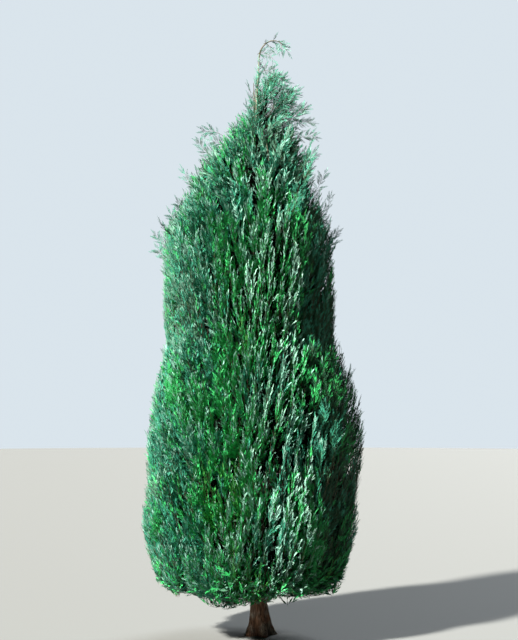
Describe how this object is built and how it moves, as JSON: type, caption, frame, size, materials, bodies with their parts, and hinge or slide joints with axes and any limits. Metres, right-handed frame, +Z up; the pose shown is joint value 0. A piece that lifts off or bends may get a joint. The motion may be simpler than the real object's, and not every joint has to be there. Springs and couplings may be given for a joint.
{
  "type": "cypress tree",
  "caption": "Upright garden conifer with one bowed trunk, rising boughs, dense flat sprays of blue-green foliage and a thin leader that nods over.",
  "frame": {"origin": "middle of the flat foot of the trunk, where it meets the ground", "axes": "+Z up the tree. Seen along +Y, as in the picture, +X is to the right."},
  "size_m": [2.3399, 2.288, 6.495],
  "materials": {
    "bark": "fibrous ridged bark",
    "foliage": "matt scale leaves with a waxy bloom"
  },
  "bodies": {
    "root": {"trunk": "bark", "bough_skirt_1": "bark", "bough_skirt_2": "bark", "bough_skirt_3": "bark", "bough_skirt_4": "bark", "bough_skirt_5": "bark", "bough_skirt_6": "bark", "bough_skirt_7": "bark", "bough_skirt_8": "bark", "bough_belt_1": "bark", "bough_belt_2": "bark", "bough_belt_3": "bark", "bough_belt_4": "bark", "bough_belt_5": "bark", "bough_belt_6": "bark", "bough_belt_7": "bark", "bough_belt_8": "bark", "bough_shoulder_1": "bark", "bough_shoulder_2": "bark", "bough_shoulder_3": "bark", "bough_shoulder_4": "bark", "bough_shoulder_5": "bark", "bough_shoulder_6": "bark", "bough_shoulder_7": "bark", "bough_neck_1": "bark", "bough_neck_2": "bark", "bough_neck_3": "bark", "bough_neck_4": "bark", "foliage_skirt_1": "foliage", "foliage_skirt_2": "foliage", "foliage_skirt_3": "foliage", "foliage_skirt_4": "foliage", "foliage_skirt_5": "foliage", "foliage_skirt_6": "foliage", "foliage_skirt_7": "foliage", "foliage_skirt_8": "foliage", "foliage_belt_1": "foliage", "foliage_belt_2": "foliage", "foliage_belt_3": "foliage", "foliage_belt_4": "foliage", "foliage_belt_5": "foliage", "foliage_belt_6": "foliage", "foliage_belt_7": "foliage", "foliage_belt_8": "foliage", "foliage_shoulder_1": "foliage", "foliage_shoulder_2": "foliage", "foliage_shoulder_3": "foliage", "foliage_shoulder_4": "foliage", "foliage_shoulder_5": "foliage", "foliage_shoulder_6": "foliage", "foliage_shoulder_7": "foliage", "foliage_neck_1": "foliage", "foliage_neck_2": "foliage", "foliage_neck_3": "foliage", "foliage_neck_4": "foliage", "foliage_peak_1": "foliage", "foliage_peak_2": "foliage", "foliage_peak_3": "foliage", "foliage_leader": "foliage"}
  },
  "joints": []
}
